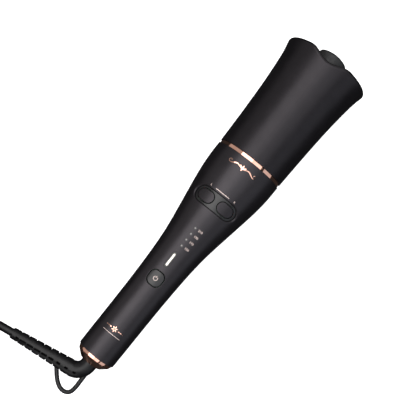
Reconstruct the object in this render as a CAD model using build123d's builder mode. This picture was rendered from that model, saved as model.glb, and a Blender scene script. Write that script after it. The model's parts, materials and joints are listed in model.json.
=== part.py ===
from build123d import *

import os
from math import acos, atan, cos, degrees, pi, radians, sin, sqrt, tan

# Automatic hair curler, lying on its back on a table, buttons up. Millimetres, +Z up.
# +X runs along the floor from the cord end to the tip, and +Y is the left-hand button's side.
# The body is a long bell, so its axis climbs towards the tip by the resting tilt.

# ---- driving dimensions: stations along the axis, counted from the handle's cord end ----
grip_radius = 17.5
bulge_radius = 31.2
bulge_station = 197.0
ring_start = 201.0
ring_end = 204.3
rim_station = 308.5
rim_radius = 39.4
rim_outer_round = 2.6
rim_inner_round = 1.0
notch_depth = 5.5
notch_half_width = 20.0
shell_wall = 2.4
shroud_wall = 2.2
liner_wall = 1.2
liner_gap = 0.6

barrel_radius = 12.7
barrel_wall = 1.6
barrel_start = 212.0
barrel_end = 306.0
cap_radius = 13.3
cap_station = 320.2
chamber_floor = 222.0
liner_end = 300.0

rear_plate = (176.0, 180.0)
front_plate = (203.0, 207.0)
tail_radius = 3.96
seat_radius = 6.0
journal_radius = 7.96
running_gap = 0.04

gear_module = 0.65
gear_teeth = 26
pinion_teeth = 14
gear_face = (182.0, 187.0)
tooth_slack = 0.06
motor_radius = 8.0
motor_drop = gear_module * (gear_teeth + pinion_teeth) / 2
motor_start = 138.0
gearbox_start = 158.0
shaft_radius = 1.5

power_station = 80.0
power_side = 13.0
power_corner = 5.0
power_round = 0.6
power_opening_round = 0.4
slot_station = 99.4
slot_length = 15.2
slot_width = 4.0
slot_round = 0.3
lens_length = 12.0
lens_width = 1.75
heat_stations = (113.9, 120.1, 126.1, 131.9)
heat_hole = 1.5
heat_lens = 0.68
dish_station = 158.0
dish_length = 37.9
dish_width = 13.8
dish_depth = 1.2
dish_round = 1.2
button_spread = 9.5
button_length = 14.4
button_width = 10.2
button_gap = 0.45
button_round = 0.7
fitting_gap = 0.12
light_gap = 0.05
key_travel = 0.6

board_thickness = 1.6
control_top = 9.0
key_board_top = 16.6
switch_height = 2.5
plunger_height = 0.5

collar_length = 8.2
collar_nose = 10.0
collar_bore = 7.5
spigot_radius = 14.8
swivel_radius = 9.95
relief_radius = 7.1
relief_end_radius = 4.8
elbow_radius = 11.0
elbow_station = -20.3
relief_length = 67.6
relief_turn = 80.4
relief_droop = 5.5
loop_radius = 1.75

cord_radius = 3.5
coil_outer = 45.6
coil_inner = 38.4
coil_height = 27.2
coil_x = -84.0
coil_y = 106.0
tie_wall = 1.2
tie_width = 9.0
plug_x = -130.5
plug_axis_height = 8.0
plug_face_y = 22.0

# ---- the resting pose: the handle's end and its swelling touch the table, just behind the ring ----
foot_radius = grip_radius - 0.2
swell_station = 184.1
swell_radius = 30.71
tilt = atan((swell_radius - foot_radius) / swell_station)
tail_height = foot_radius * cos(tilt)
along = Vector(cos(tilt), 0, sin(tilt))
upward = Vector(-sin(tilt), 0, cos(tilt))
sideways = Vector(0, 1, 0)
front_reach = cap_station * cos(tilt)
back_reach = collar_length * cos(tilt) + collar_nose * sin(tilt)
tail = Vector((back_reach - front_reach) / 2, 0, tail_height)
curler_axis = Axis(tail, along)


def across(station, left=0.0, height=0.0):
    """The plane square to the axis at a station: x to the left-hand side, y up, z to the tip."""
    origin = tail + along * station + sideways * left + upward * height
    return Plane(origin=origin, x_dir=sideways, z_dir=along)


def above(height, station=0.0, left=0.0):
    """The plane level with the axis at a height over it: x to the tip, y to the left, z up."""
    origin = tail + along * station + sideways * left + upward * height
    return Plane(origin=origin, x_dir=along, z_dir=upward)


# The upright plane that holds the axis: x to the tip, y up.
lengthwise = Plane(origin=tail, x_dir=along, z_dir=-sideways)

grip_curve = [
    (0.0, grip_radius - 0.2),
    (30.0, grip_radius),
    (60.0, grip_radius + 0.25),
    (84.0, grip_radius + 0.9),
    (104.0, grip_radius + 1.95),
    (119.0, grip_radius + 3.45),
    (139.0, grip_radius + 6.55),
    (159.0, grip_radius + 9.9),
    (174.0, grip_radius + 12.2),
    (187.0, bulge_radius - 0.3),
    (bulge_station, bulge_radius),
]
shroud_curve = [
    (ring_end, bulge_radius + 0.1),
    (225.0, bulge_radius + 0.8),
    (250.0, bulge_radius + 1.9),
    (270.0, bulge_radius + 3.2),
    (285.0, bulge_radius + 4.65),
    (297.0, rim_radius - 1.95),
    (304.0, rim_radius - 0.4),
    (rim_station, rim_radius + 0.75),
]
os.makedirs("parts", exist_ok=True)


def save(piece, label):
    """Names a finished piece and writes its STEP."""
    piece.part.label = label
    export_step(piece.part, f"parts/{label}.step")


def grip_region(inset):
    """The region between the axis and the handle's outside, drawn in by an inset."""
    with BuildSketch(lengthwise) as region:
        with BuildLine():
            curve = Spline([(x, r - inset) for x, r in grip_curve])
            edge = Line(curve @ 1, (ring_start, bulge_radius - inset))
            Polyline(edge @ 1, (ring_start, 0), (0, 0), curve @ 0)
        make_face()
    return region.sketch


def shroud_region(inset, start, end):
    """The region between the axis and the bell's outside, drawn in by an inset."""
    with BuildSketch(lengthwise) as region:
        with BuildLine():
            curve = Spline([(x, r - inset) for x, r in shroud_curve])
            Polyline(curve @ 1, (rim_station, 0), (ring_end, 0), curve @ 0)
        make_face()
        with Locations(((start + end) / 2, 25.0)):
            Rectangle(end - start, 50.0, mode=Mode.INTERSECT)
    return region.sketch


def turned(outline):
    """A region of the lengthwise plane from its corners, for a turned piece."""
    with BuildSketch(lengthwise) as region:
        with BuildLine():
            Polyline(*outline, close=True)
        make_face()
    return region.sketch


def ring_band(start, end, inner, outer):
    """The section of a plain ring round the axis."""
    return turned([(start, inner), (end, inner), (end, outer), (start, outer)])


def grip_radius_at(station):
    """The handle's outer radius at a station."""
    for (x0, r0), (x1, r1) in zip(grip_curve, grip_curve[1:]):
        if x0 <= station <= x1:
            return r0 + (r1 - r0) * (station - x0) / (x1 - x0)
    return bulge_radius


def skin_edges(piece, station, reach):
    """The edges of a piece that lie on the handle's front skin, within a reach of a station."""
    found = []
    for edge in piece.edges():
        middle = edge.position_at(0.5) - tail
        distance = middle.dot(along)
        radius = (middle - along * distance).length
        on_skin = radius > grip_radius_at(distance) - 0.5 and middle.dot(upward) > 5.0
        if on_skin and abs(distance - station) < reach:
            found.append(edge)
    return found


def rim_edges(piece, inner, outer):
    """The curved edges of the bell's rim whose distance from the axis is between two radii."""
    found = []
    for edge in piece.edges():
        middle = edge.position_at(0.5) - tail
        radius = (middle - along * middle.dot(along)).length
        on_rim = (edge.center() - tail).dot(along) > rim_station - notch_depth - 0.5
        if on_rim and edge.geom_type != GeomType.LINE and inner < radius < outer:
            found.append(edge)
    return found


# ---- handle ----
case_screws_at = [(24.0, 0.0), (109.6, 0.0), (150.0, 19.0), (150.0, -19.0)]
screw_boss = 2.3
screw_post = 3.6
screw_pilot = 1.0
screw_clear = 1.35
screw_head = 2.3
head_depth = 6.0

with BuildPart() as front_shell:
    add(grip_region(0))
    revolve(axis=curler_axis)
    add(grip_region(shell_wall))
    revolve(axis=curler_axis, mode=Mode.SUBTRACT)
    split(bisect_by=above(0), keep=Keep.TOP)
    for station, left in case_screws_at:
        post_height = sqrt((grip_radius_at(station) - shell_wall / 2) ** 2 - left**2) - abs(left) / 9
        with BuildSketch(above(0, station, left)):
            Circle(screw_boss)
        extrude(amount=post_height)
        with BuildSketch(above(0, station, left)):
            Circle(screw_pilot)
        extrude(amount=8.0, mode=Mode.SUBTRACT)
    with BuildSketch(above(5.0, power_station)):
        opening = power_side + 2 * button_gap
        RectangleRounded(opening, opening, power_corner + button_gap)
    extrude(amount=20.0, mode=Mode.SUBTRACT)
    with BuildSketch(above(12.0, slot_station)):
        SlotOverall(slot_length, slot_width)
    extrude(amount=20.0, mode=Mode.SUBTRACT)
    for station in heat_stations:
        with BuildSketch(above(12.0, station)):
            Circle(heat_hole)
        extrude(amount=20.0, mode=Mode.SUBTRACT)
    with BuildSketch(above(12.0, dish_station)):
        SlotOverall(dish_length, dish_width, rotation=90)
    extrude(amount=30.0, mode=Mode.SUBTRACT)
    fillet(skin_edges(front_shell, dish_station, dish_width / 2 + 1), radius=dish_round)
    fillet(skin_edges(front_shell, power_station, power_side / 2 + 1.5), radius=power_opening_round)
    fillet(skin_edges(front_shell, slot_station, slot_length / 2 + 1.4), radius=slot_round)
save(front_shell, "front_shell")

with BuildPart() as rear_shell:
    add(grip_region(0))
    revolve(axis=curler_axis)
    add(grip_region(shell_wall))
    revolve(axis=curler_axis, mode=Mode.SUBTRACT)
    split(bisect_by=above(0), keep=Keep.BOTTOM)
    for station, left in case_screws_at:
        post_height = sqrt((grip_radius_at(station) - shell_wall / 2) ** 2 - left**2) - abs(left) / 9
        with BuildSketch(above(0, station, left)):
            Circle(screw_post)
        extrude(amount=-post_height)
        with BuildSketch(above(0, station, left)):
            Circle(screw_clear)
        extrude(amount=-40.0, mode=Mode.SUBTRACT)
        with BuildSketch(above(-head_depth, station, left)):
            Circle(screw_head + 0.2)
        extrude(amount=-40.0, mode=Mode.SUBTRACT)
save(rear_shell, "rear_shell")

with BuildPart() as case_screws:
    for station, left in case_screws_at:
        with BuildSketch(above(-head_depth, station, left)):
            Circle(screw_pilot)
        extrude(amount=head_depth + 6.0)
        with BuildSketch(above(-head_depth, station, left)):
            Circle(screw_head)
        extrude(amount=-1.8)
        with BuildSketch(above(-head_depth - 1.8, station, left)):
            Rectangle(2.8, 0.6)
            Rectangle(0.6, 2.8)
        extrude(amount=0.9, mode=Mode.SUBTRACT)
save(case_screws, "case_screws")

with BuildPart() as trim_ring:
    add(ring_band(ring_start + 0.05, ring_end - 0.05, 28.6, bulge_radius - 0.8))
    revolve(axis=curler_axis)
    outer_edges = trim_ring.edges().filter_by(GeomType.CIRCLE).sort_by(SortBy.RADIUS)[-2:]
    fillet(outer_edges, radius=0.3)
save(trim_ring, "trim_ring")

# ---- bell: outer shroud with a dip front and back, and the heat liner inside it ----
with BuildPart() as shroud:
    add(shroud_region(0, ring_end, rim_station))
    revolve(axis=curler_axis)
    add(shroud_region(shroud_wall, ring_end, liner_end + 0.3))
    revolve(axis=curler_axis, mode=Mode.SUBTRACT)
    add(shroud_region(shroud_wall + liner_gap + liner_wall, liner_end, rim_station))
    revolve(axis=curler_axis, mode=Mode.SUBTRACT)
    with BuildSketch(above(0)):
        with BuildLine():
            dip = Spline(
                (rim_station, -notch_half_width),
                (rim_station - notch_depth / 2, -notch_half_width / 2),
                (rim_station - notch_depth, 0),
                (rim_station - notch_depth / 2, notch_half_width / 2),
                (rim_station, notch_half_width),
                tangents=((0, 1), (0, 1)),
            )
            Line(dip @ 1, dip @ 0)
        make_face()
    extrude(amount=60.0, both=True, mode=Mode.SUBTRACT)
    fillet(rim_edges(shroud, rim_radius - shroud_wall + 0.3, rim_radius + 5.0), radius=rim_outer_round)
    fillet(rim_edges(shroud, 0.0, rim_radius - shroud_wall - 1.0), radius=rim_inner_round)
save(shroud, "shroud")

with BuildPart() as chamber_liner:
    add(shroud_region(shroud_wall + liner_gap, front_plate[1], liner_end))
    revolve(axis=curler_axis)
    add(shroud_region(shroud_wall + liner_gap + liner_wall, chamber_floor, liner_end))
    revolve(axis=curler_axis, mode=Mode.SUBTRACT)
    add(shroud_region(shroud_wall + liner_gap + liner_wall, front_plate[1], chamber_floor - 1.5))
    revolve(axis=curler_axis, mode=Mode.SUBTRACT)
    with BuildSketch(across(front_plate[1])):
        Circle(barrel_radius + 0.7)
    extrude(amount=20.0, mode=Mode.SUBTRACT)
save(chamber_liner, "chamber_liner")

# ---- button dish, keys and lights ----


def dish_stadium(grow):
    """The oval of the button dish, on a level plane under the handle's skin."""
    with BuildSketch(above(12.0, dish_station)) as oval:
        SlotOverall(dish_length + 2 * grow, dish_width + 2 * grow, rotation=90)
    return oval.sketch


def key_oval(left, grow):
    """One direction key's oval, on the same level plane."""
    with BuildSketch(above(12.0, dish_station, left)) as oval:
        SlotOverall(button_length + 2 * grow, button_width + 2 * grow, rotation=90)
    return oval.sketch


with BuildPart() as button_bezel:
    extrude(dish_stadium(-fitting_gap), amount=30.0, dir=upward)
    add(grip_region(dish_depth))
    revolve(axis=curler_axis, mode=Mode.INTERSECT)
    add(grip_region(dish_depth + 1.8))
    revolve(axis=curler_axis, mode=Mode.SUBTRACT)
    for left in (button_spread, -button_spread):
        extrude(key_oval(left, button_gap), amount=30.0, dir=upward, mode=Mode.SUBTRACT)
save(button_bezel, "button_bezel")

for side, label in ((1, "left_button"), (-1, "right_button")):
    with BuildPart() as direction_button:
        extrude(key_oval(side * button_spread, 0), amount=30.0, dir=upward)
        add(grip_region(0.35))
        revolve(axis=curler_axis, mode=Mode.INTERSECT)
        add(grip_region(3.3))
        revolve(axis=curler_axis, mode=Mode.SUBTRACT)
        fillet(skin_edges(direction_button, dish_station, button_width / 2 + 2), radius=button_round)
        stem_foot = key_board_top + switch_height + plunger_height + key_travel + 0.05
        with BuildSketch(above(stem_foot, dish_station, side * button_spread)):
            Circle(1.8)
        extrude(amount=grip_radius_at(dish_station) - 7.0 - stem_foot + 4.0)
    save(direction_button, label)

with BuildPart() as power_button:
    with BuildSketch(above(12.0, power_station)):
        RectangleRounded(power_side, power_side, power_corner)
    extrude(amount=20.0)
    add(grip_region(-0.1))
    revolve(axis=curler_axis, mode=Mode.INTERSECT)
    add(grip_region(3.2))
    revolve(axis=curler_axis, mode=Mode.SUBTRACT)
    fillet(skin_edges(power_button, power_station, power_side / 2 + 1.5), radius=power_round)
    stem_foot = control_top + switch_height + plunger_height + key_travel + 0.05
    with BuildSketch(above(stem_foot, power_station)):
        Circle(1.8)
    extrude(amount=4.0)
save(power_button, "power_button")

with BuildPart() as power_light_frame:
    with BuildSketch(above(control_top + 1.0, slot_station)):
        SlotOverall(slot_length - 2 * light_gap, slot_width - 2 * light_gap)
    extrude(amount=20.0)
    add(grip_region(0.3))
    revolve(axis=curler_axis, mode=Mode.INTERSECT)
    with BuildSketch(above(0, slot_station)):
        SlotOverall(lens_length + 2 * light_gap, lens_width + 2 * light_gap)
    extrude(amount=30.0, mode=Mode.SUBTRACT)
save(power_light_frame, "power_light_frame")

with BuildPart() as power_light_lens:
    with BuildSketch(above(control_top + 1.6, slot_station)):
        SlotOverall(lens_length, lens_width)
    extrude(amount=20.0)
    add(grip_region(0.45))
    revolve(axis=curler_axis, mode=Mode.INTERSECT)
save(power_light_lens, "power_light_lens")

with BuildPart() as heat_light_sleeves:
    for station in heat_stations:
        with BuildSketch(above(control_top + 1.0, station)):
            Circle(heat_hole - light_gap)
            Circle(heat_lens + light_gap, mode=Mode.SUBTRACT)
        extrude(amount=grip_radius_at(station) - control_top - 1.35)
save(heat_light_sleeves, "heat_light_sleeves")

with BuildPart() as heat_light_lenses:
    for station in heat_stations:
        with BuildSketch(above(control_top + 1.3, station)):
            Circle(heat_lens)
        extrude(amount=grip_radius_at(station) - control_top - 1.6)
save(heat_light_lenses, "heat_light_lenses")

# ---- electronics ----
control_span = (66.0, 134.0)
key_board_span = (149.0, 169.0)
power_board_span = (30.0, 100.0)
power_board_top = -5.0
switch_side = 6.0

with BuildPart() as control_board:
    with BuildSketch(above(control_top - board_thickness, sum(control_span) / 2)):
        RectangleRounded(control_span[1] - control_span[0], 23.0, 1.5)
        with Locations((case_screws_at[1][0] - sum(control_span) / 2, 0)):
            Circle(screw_boss + 0.5, mode=Mode.SUBTRACT)
    extrude(amount=board_thickness)
save(control_board, "control_board")

with BuildPart() as key_board:
    with BuildSketch(above(key_board_top - board_thickness, sum(key_board_span) / 2)):
        RectangleRounded(key_board_span[1] - key_board_span[0], 28.0, 1.5)
    extrude(amount=board_thickness)
save(key_board, "key_board")

switches_at = [
    (control_top, power_station, 0.0),
    (key_board_top, dish_station, button_spread),
    (key_board_top, dish_station, -button_spread),
]
with BuildPart() as tact_switches:
    for height, station, left in switches_at:
        with BuildSketch(above(height, station, left)):
            RectangleRounded(switch_side, switch_side, 0.5)
        extrude(amount=switch_height)
        with BuildSketch(above(height + switch_height, station, left)):
            Circle(1.7)
        extrude(amount=plunger_height)
save(tact_switches, "tact_switches")

with BuildPart() as indicator_leds:
    for station in (*heat_stations, slot_station - 3.5, slot_station + 3.5):
        with BuildSketch(above(control_top, station)):
            Rectangle(1.6, 1.2)
        extrude(amount=0.7)
save(indicator_leds, "indicator_leds")

with BuildPart() as control_chips:
    for station, left, length, width in ((88.0, 7.0, 7.0, 7.0), (118.0, -7.0, 5.0, 4.0), (72.0, -7.0, 5.0, 4.0)):
        with BuildSketch(above(control_top - board_thickness, station, left)):
            Rectangle(length, width)
        extrude(amount=-1.4)
save(control_chips, "control_chips")

with BuildPart() as power_board:
    with BuildSketch(above(power_board_top - board_thickness, sum(power_board_span) / 2)):
        RectangleRounded(power_board_span[1] - power_board_span[0], 24.0, 1.5)
    extrude(amount=board_thickness)
save(power_board, "power_board")

with BuildPart() as filter_capacitor:
    with BuildSketch(above(power_board_top, 42.0, 4.0)):
        RectangleRounded(13.0, 6.0, 0.6)
    extrude(amount=9.0)
    fillet(filter_capacitor.faces().sort_by(Axis.Z)[-1].edges(), radius=0.4)
save(filter_capacitor, "filter_capacitor")

with BuildPart() as power_transformer:
    with BuildSketch(above(power_board_top, 62.0)):
        Rectangle(15.0, 15.0)
    extrude(amount=3.0)
    with BuildSketch(above(power_board_top + 3.0, 62.0)):
        Rectangle(15.0, 9.0)
    extrude(amount=6.0)
    with BuildSketch(above(power_board_top + 9.0, 62.0)):
        Rectangle(15.0, 15.0)
    extrude(amount=2.0)
save(power_transformer, "power_transformer")

# ---- drive: bearing frame, bushes, gear motor and its pinion ----
frame_radius = 27.0
flange_radius = 28.5
gearbox_boss = 3.5

with BuildPart() as bearing_frame:
    add(ring_band(*rear_plate, 0, frame_radius - 1.0))
    revolve(axis=curler_axis)
    add(ring_band(*front_plate, 0, flange_radius))
    add(ring_band(196.0, front_plate[0], flange_radius - 2.5, flange_radius))
    revolve(axis=curler_axis)
    for angle in (0, 60, 120, 180, 240, 300):
        spoke = (20.5 * cos(radians(angle)), 20.5 * sin(radians(angle)))
        with BuildSketch(across(rear_plate[1], *spoke)):
            Circle(2.6)
        extrude(amount=front_plate[0] - rear_plate[1])
    with BuildSketch(across(rear_plate[0])):
        Circle(7.0)
        with Locations((0, -motor_drop)):
            Circle(gearbox_boss + 0.1)
        with Locations((6.0, -motor_drop), (-6.0, -motor_drop)):
            Circle(1.1)
    extrude(amount=rear_plate[1] - rear_plate[0], mode=Mode.SUBTRACT)
    with BuildSketch(across(front_plate[0])):
        Circle(11.0)
    extrude(amount=front_plate[1] - front_plate[0], mode=Mode.SUBTRACT)
save(bearing_frame, "bearing_frame")

with BuildPart() as rear_bush:
    add(ring_band(*rear_plate, tail_radius + running_gap, 7.0))
    add(ring_band(rear_plate[1], rear_plate[1] + 1.0, tail_radius + running_gap, 8.4))
    revolve(axis=curler_axis)
save(rear_bush, "rear_bush")

with BuildPart() as front_bush:
    add(ring_band(*front_plate, journal_radius + running_gap, 11.0))
    add(ring_band(front_plate[1], front_plate[1] + 1.2, journal_radius + running_gap, 12.4))
    revolve(axis=curler_axis)
save(front_bush, "front_bush")

with BuildPart() as motor:
    with BuildSketch(across(motor_start, 0, -motor_drop)):
        Circle(motor_radius)
    extrude(amount=gearbox_start - motor_start)
    with BuildSketch(across(motor_start - 2.0, 0, -motor_drop)):
        Circle(3.0)
    extrude(amount=2.0)
    rear_edge = motor.edges().filter_by(GeomType.CIRCLE).sort_by(SortBy.RADIUS)[-2:]
    fillet(rear_edge, radius=0.8)
save(motor, "motor")

with BuildPart() as gearbox:
    with BuildSketch(across(gearbox_start, 0, -motor_drop)):
        Circle(motor_radius)
    extrude(amount=rear_plate[0] - gearbox_start)
    with BuildSketch(across(rear_plate[0], 0, -motor_drop)):
        Circle(gearbox_boss)
    extrude(amount=3.0)
    with BuildSketch(across(168.0, 0, -motor_drop)):
        Circle(shaft_radius + running_gap)
    extrude(amount=20.0, mode=Mode.SUBTRACT)
    with BuildSketch(across(rear_plate[0], 0, -motor_drop)):
        with Locations((6.0, 0), (-6.0, 0)):
            Circle(0.85)
    extrude(amount=-5.0, mode=Mode.SUBTRACT)
save(gearbox, "gearbox")

with BuildPart() as motor_screws:
    for left in (6.0, -6.0):
        with BuildSketch(across(rear_plate[0] - 4.0, left, -motor_drop)):
            Circle(0.8)
        extrude(amount=rear_plate[1] - rear_plate[0] + 4.0)
        with BuildSketch(across(rear_plate[1], left, -motor_drop)):
            Circle(1.7)
            Rectangle(2.2, 0.5, mode=Mode.SUBTRACT)
        extrude(amount=0.9)
save(motor_screws, "motor_screws")


def involute(angle):
    """The involute function of a pressure angle."""
    return tan(angle) - angle


def gear_corners(teeth, phase):
    """The outline of a spur gear, with a tooth centred on the phase angle."""
    pitch = gear_module * teeth / 2
    base = pitch * cos(radians(20))
    tip = pitch + 0.95 * gear_module
    root = pitch - 1.25 * gear_module
    half_tooth = pi / (2 * teeth) - tooth_slack / pitch + involute(radians(20))
    low = max(base, root)
    flank = [low + (tip - low) * step / 4 for step in range(5)]
    widths = [(r, half_tooth - involute(acos(base / r))) for r in flank]
    widths.insert(0, (root, widths[0][1]))
    corners = []
    for tooth in range(teeth):
        centre = phase + 2 * pi * tooth / teeth
        rising = [(r * cos(centre - w), r * sin(centre - w)) for r, w in widths]
        falling = [(r * cos(centre + w), r * sin(centre + w)) for r, w in reversed(widths)]
        corners += rising + falling
    return corners


with BuildPart() as drive_gear:
    with BuildSketch(across(gear_face[0])):
        with BuildLine():
            Polyline(*gear_corners(gear_teeth, -pi / 2), close=True)
        make_face()
        Circle(seat_radius + 0.01, mode=Mode.SUBTRACT)
    extrude(amount=gear_face[1] - gear_face[0])
save(drive_gear, "drive_gear")

with BuildPart() as motor_pinion:
    with BuildSketch(across(gear_face[0] - 0.3, 0, -motor_drop)):
        with BuildLine():
            Polyline(*gear_corners(pinion_teeth, pi / 2 + pi / pinion_teeth), close=True)
        make_face()
        Circle(shaft_radius + 0.01, mode=Mode.SUBTRACT)
    extrude(amount=gear_face[1] - gear_face[0] + 0.6)
save(motor_pinion, "motor_pinion")

with BuildPart() as motor_shaft:
    with BuildSketch(across(168.5, 0, -motor_drop)):
        Circle(shaft_radius)
    extrude(amount=20.0)
save(motor_shaft, "motor_shaft")

# ---- turning barrel: hub, gear, slip rings, tube, heater and cool cap ----
clip_groove = (174.2, 175.0)

with BuildPart() as barrel_hub:
    add(
        turned([
            (173.0, 2.4),
            (173.0, tail_radius),
            (181.2, tail_radius),
            (181.2, seat_radius),
            (201.2, seat_radius),
            (201.2, journal_radius),
            (209.0, journal_radius),
            (209.0, 12.6),
            (barrel_start, 12.6),
            (barrel_start, barrel_radius - barrel_wall - 0.02),
            (221.0, barrel_radius - barrel_wall - 0.02),
            (221.0, 2.4),
        ])
    )
    revolve(axis=curler_axis)
    add(ring_band(*clip_groove, 3.2, tail_radius + 1.0))
    revolve(axis=curler_axis, mode=Mode.SUBTRACT)
save(barrel_hub, "barrel_hub")

with BuildPart() as retaining_clip:
    with BuildSketch(across(clip_groove[0] + 0.05)):
        Circle(4.7)
        Circle(3.22, mode=Mode.SUBTRACT)
        with Locations((0, -4.0)):
            Rectangle(3.6, 4.0, mode=Mode.SUBTRACT)
    extrude(amount=0.7)
save(retaining_clip, "retaining_clip")

slip_ring_starts = (189.6, 193.2, 196.8)
with BuildPart() as slip_ring_sleeve:
    add(ring_band(188.6, 200.4, seat_radius + 0.01, 9.0))
    revolve(axis=curler_axis)
save(slip_ring_sleeve, "slip_ring_sleeve")

with BuildPart() as slip_rings:
    for start in slip_ring_starts:
        add(ring_band(start, start + 2.4, 9.01, 10.0))
        revolve(axis=curler_axis)
save(slip_rings, "slip_rings")

with BuildPart() as brush_holder:
    with BuildSketch(across(189.0, 0, 15.5)):
        Rectangle(9.0, 6.0)
    extrude(amount=front_plate[0] - 189.0)
    for start in slip_ring_starts:
        with BuildSketch(across(start + 0.2, 0, 15.5)):
            Rectangle(4.1, 6.2)
        extrude(amount=2.0, mode=Mode.SUBTRACT)
save(brush_holder, "brush_holder")

with BuildPart() as carbon_brushes:
    for start in slip_ring_starts:
        with BuildSketch(across(start + 0.3, 0, 0)):
            with Locations((0, 13.5)):
                Rectangle(4.0, 7.4)
            Circle(10.05, mode=Mode.SUBTRACT)
        extrude(amount=1.8)
save(carbon_brushes, "carbon_brushes")

with BuildPart() as barrel_tube:
    add(ring_band(barrel_start, barrel_end, barrel_radius - barrel_wall, barrel_radius))
    revolve(axis=curler_axis)
save(barrel_tube, "barrel_tube")

cap_shoulder = cap_station - 3.4
dome_rise = cap_station - cap_shoulder
dome_radius = (cap_radius**2 + dome_rise**2) / (2 * dome_rise)
dome_swing = sqrt(dome_radius**2 - (cap_radius / 2) ** 2)
dome_middle = (cap_station - dome_radius + dome_swing, cap_radius / 2)
cap_round = 2.4

with BuildPart() as barrel_cap:
    with BuildSketch(lengthwise) as cap_profile:
        with BuildLine():
            Polyline((cap_station, 0), (barrel_end, 0), (barrel_end, cap_radius), (cap_shoulder, cap_radius))
            ThreePointArc((cap_shoulder, cap_radius), dome_middle, (cap_station, 0))
        make_face()
        shoulder = cap_profile.vertices().group_by(Axis.Y)[-1].sort_by(Axis.X)[-1]
        fillet(shoulder, radius=cap_round)
    revolve(axis=curler_axis)
    add(ring_band(barrel_end - 6.0, barrel_end, 0, barrel_radius - barrel_wall - 0.02))
    revolve(axis=curler_axis)
save(barrel_cap, "barrel_cap")

heater_span = (226.0, 296.0)
heater_radius = barrel_radius - barrel_wall - 0.15
strip_width = 15.0
strip_thickness = 2.6

with BuildPart() as heater_clamps:
    with BuildSketch(across(heater_span[0])):
        Circle(heater_radius)
        Rectangle(strip_width + 1.0, strip_thickness + 0.6, mode=Mode.SUBTRACT)
        Rectangle(3 * heater_radius, 1.0, mode=Mode.SUBTRACT)
    extrude(amount=heater_span[1] - heater_span[0])
save(heater_clamps, "heater_clamps")

with BuildPart() as heater_film:
    with BuildSketch(across(heater_span[0] - 1.5)):
        Rectangle(strip_width + 0.8, strip_thickness + 0.5)
        Rectangle(strip_width + 0.2, strip_thickness + 0.1, mode=Mode.SUBTRACT)
    extrude(amount=heater_span[1] - heater_span[0] + 2.0)
save(heater_film, "heater_film")

with BuildPart() as heating_strip:
    with BuildSketch(across(heater_span[0])):
        Rectangle(strip_width, strip_thickness)
    extrude(amount=heater_span[1] - heater_span[0])
save(heating_strip, "heating_strip")

with BuildPart() as thermal_fuse:
    with BuildSketch(above(6.5, 297.5)):
        with Locations((0, 0)):
            Rectangle(1.8, 9.0)
    extrude(amount=1.8)
save(thermal_fuse, "thermal_fuse")

with BuildPart() as temperature_sensor:
    with BuildSketch(across(296.4, 0, -6.0)):
        Circle(1.1)
    extrude(amount=3.0)
save(temperature_sensor, "temperature_sensor")


def lead(stops, radius, lead_radius):
    """A round wire along straight runs that are joined by arcs, in the planes' own coordinates."""
    with BuildLine() as route:
        FilletPolyline(*[tail + along * x + sideways * y + upward * z for x, y, z in stops], radius=radius)
    start = Plane(origin=route.line @ 0, z_dir=route.line % 0)
    with BuildSketch(start) as section:
        Circle(lead_radius)
    return route.line, section.sketch


with BuildPart() as heater_leads:
    for left in (1.2, -1.2):
        stops = [(176.0, left, 0), (222.0, left, 0), (225.4, left * 3, 0)]
        route, section = lead(stops, 1.2, 0.8)
        sweep(sections=section, path=route)
save(heater_leads, "heater_leads")

# ---- other wiring, fixed inside the handle ----
with BuildPart() as mains_leads:
    for left in (6.0, -6.0):
        stops = [(21.0, left, -2.0), (27.0, left, -2.0), (30.0, left, -3.9), (34.0, left, -4.1)]
        route, section = lead(stops, 1.2, 0.9)
        sweep(sections=section, path=route)
save(mains_leads, "mains_leads")

with BuildPart() as drive_leads:
    for left in (2.0, -2.0):
        stops = [(135.9, left, -motor_drop), (129.0, left, -motor_drop), (126.0, left, 0.0), (126.0, left, 7.3)]
        route, section = lead(stops, 2.5, 0.7)
        sweep(sections=section, path=route)
    for left in (16.5, -16.5):
        stops = [(130.0, left * 0.5, 7.3), (130.0, left * 0.5, 3.0), (160.0, left, 4.0), (175.9, left, 4.0)]
        route, section = lead(stops, 2.4, 0.8)
        sweep(sections=section, path=route)
save(drive_leads, "drive_leads")

# ---- cord end: collar, swivel and strain relief ----
with BuildPart() as end_collar:
    add(
        turned([
            (5.0, swivel_radius + 0.05),
            (5.0, spigot_radius),
            (0.0, spigot_radius),
            (0.0, 16.1),
            (-1.9, 16.1),
            (-1.9, 14.9),
            (-2.6, 14.9),
            (-2.6, 15.6),
            (-3.6, 15.3),
            (-collar_length, collar_nose),
            (-collar_length, collar_bore),
            (0.0, collar_bore),
            (0.0, swivel_radius + 0.05),
        ])
    )
    revolve(axis=curler_axis)
save(end_collar, "end_collar")

with BuildPart() as swivel_spindle:
    add(
        turned([
            (0.3, 0),
            (0.3, swivel_radius),
            (4.8, swivel_radius),
            (4.8, 3.0),
            (17.0, 3.0),
            (17.0, 0),
        ])
    )
    revolve(axis=curler_axis)
save(swivel_spindle, "swivel_spindle")

with BuildPart() as swivel_rings:
    for start in (7.0, 11.5):
        add(ring_band(start, start + 3.0, 3.01, 3.7))
        revolve(axis=curler_axis)
save(swivel_rings, "swivel_rings")

with BuildPart() as swivel_socket:
    add(
        turned([
            (5.05, 3.75),
            (5.05, spigot_radius),
            (18.0, spigot_radius),
            (18.0, 0),
            (17.2, 0),
            (17.2, 3.75),
        ])
    )
    revolve(axis=curler_axis)
    with BuildSketch(across(7.0)):
        with Locations((9.0, 0), (-9.0, 0)):
            Rectangle(4.0, 3.0)
    extrude(amount=12.0, mode=Mode.SUBTRACT)
save(swivel_socket, "swivel_socket")

with BuildPart() as swivel_contacts:
    for side, start in ((1, 7.0), (-1, 7.0)):
        with BuildSketch(across(start, side * 9.0)):
            Rectangle(3.8, 2.8)
        extrude(amount=13.8)
save(swivel_contacts, "swivel_contacts")

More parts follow.
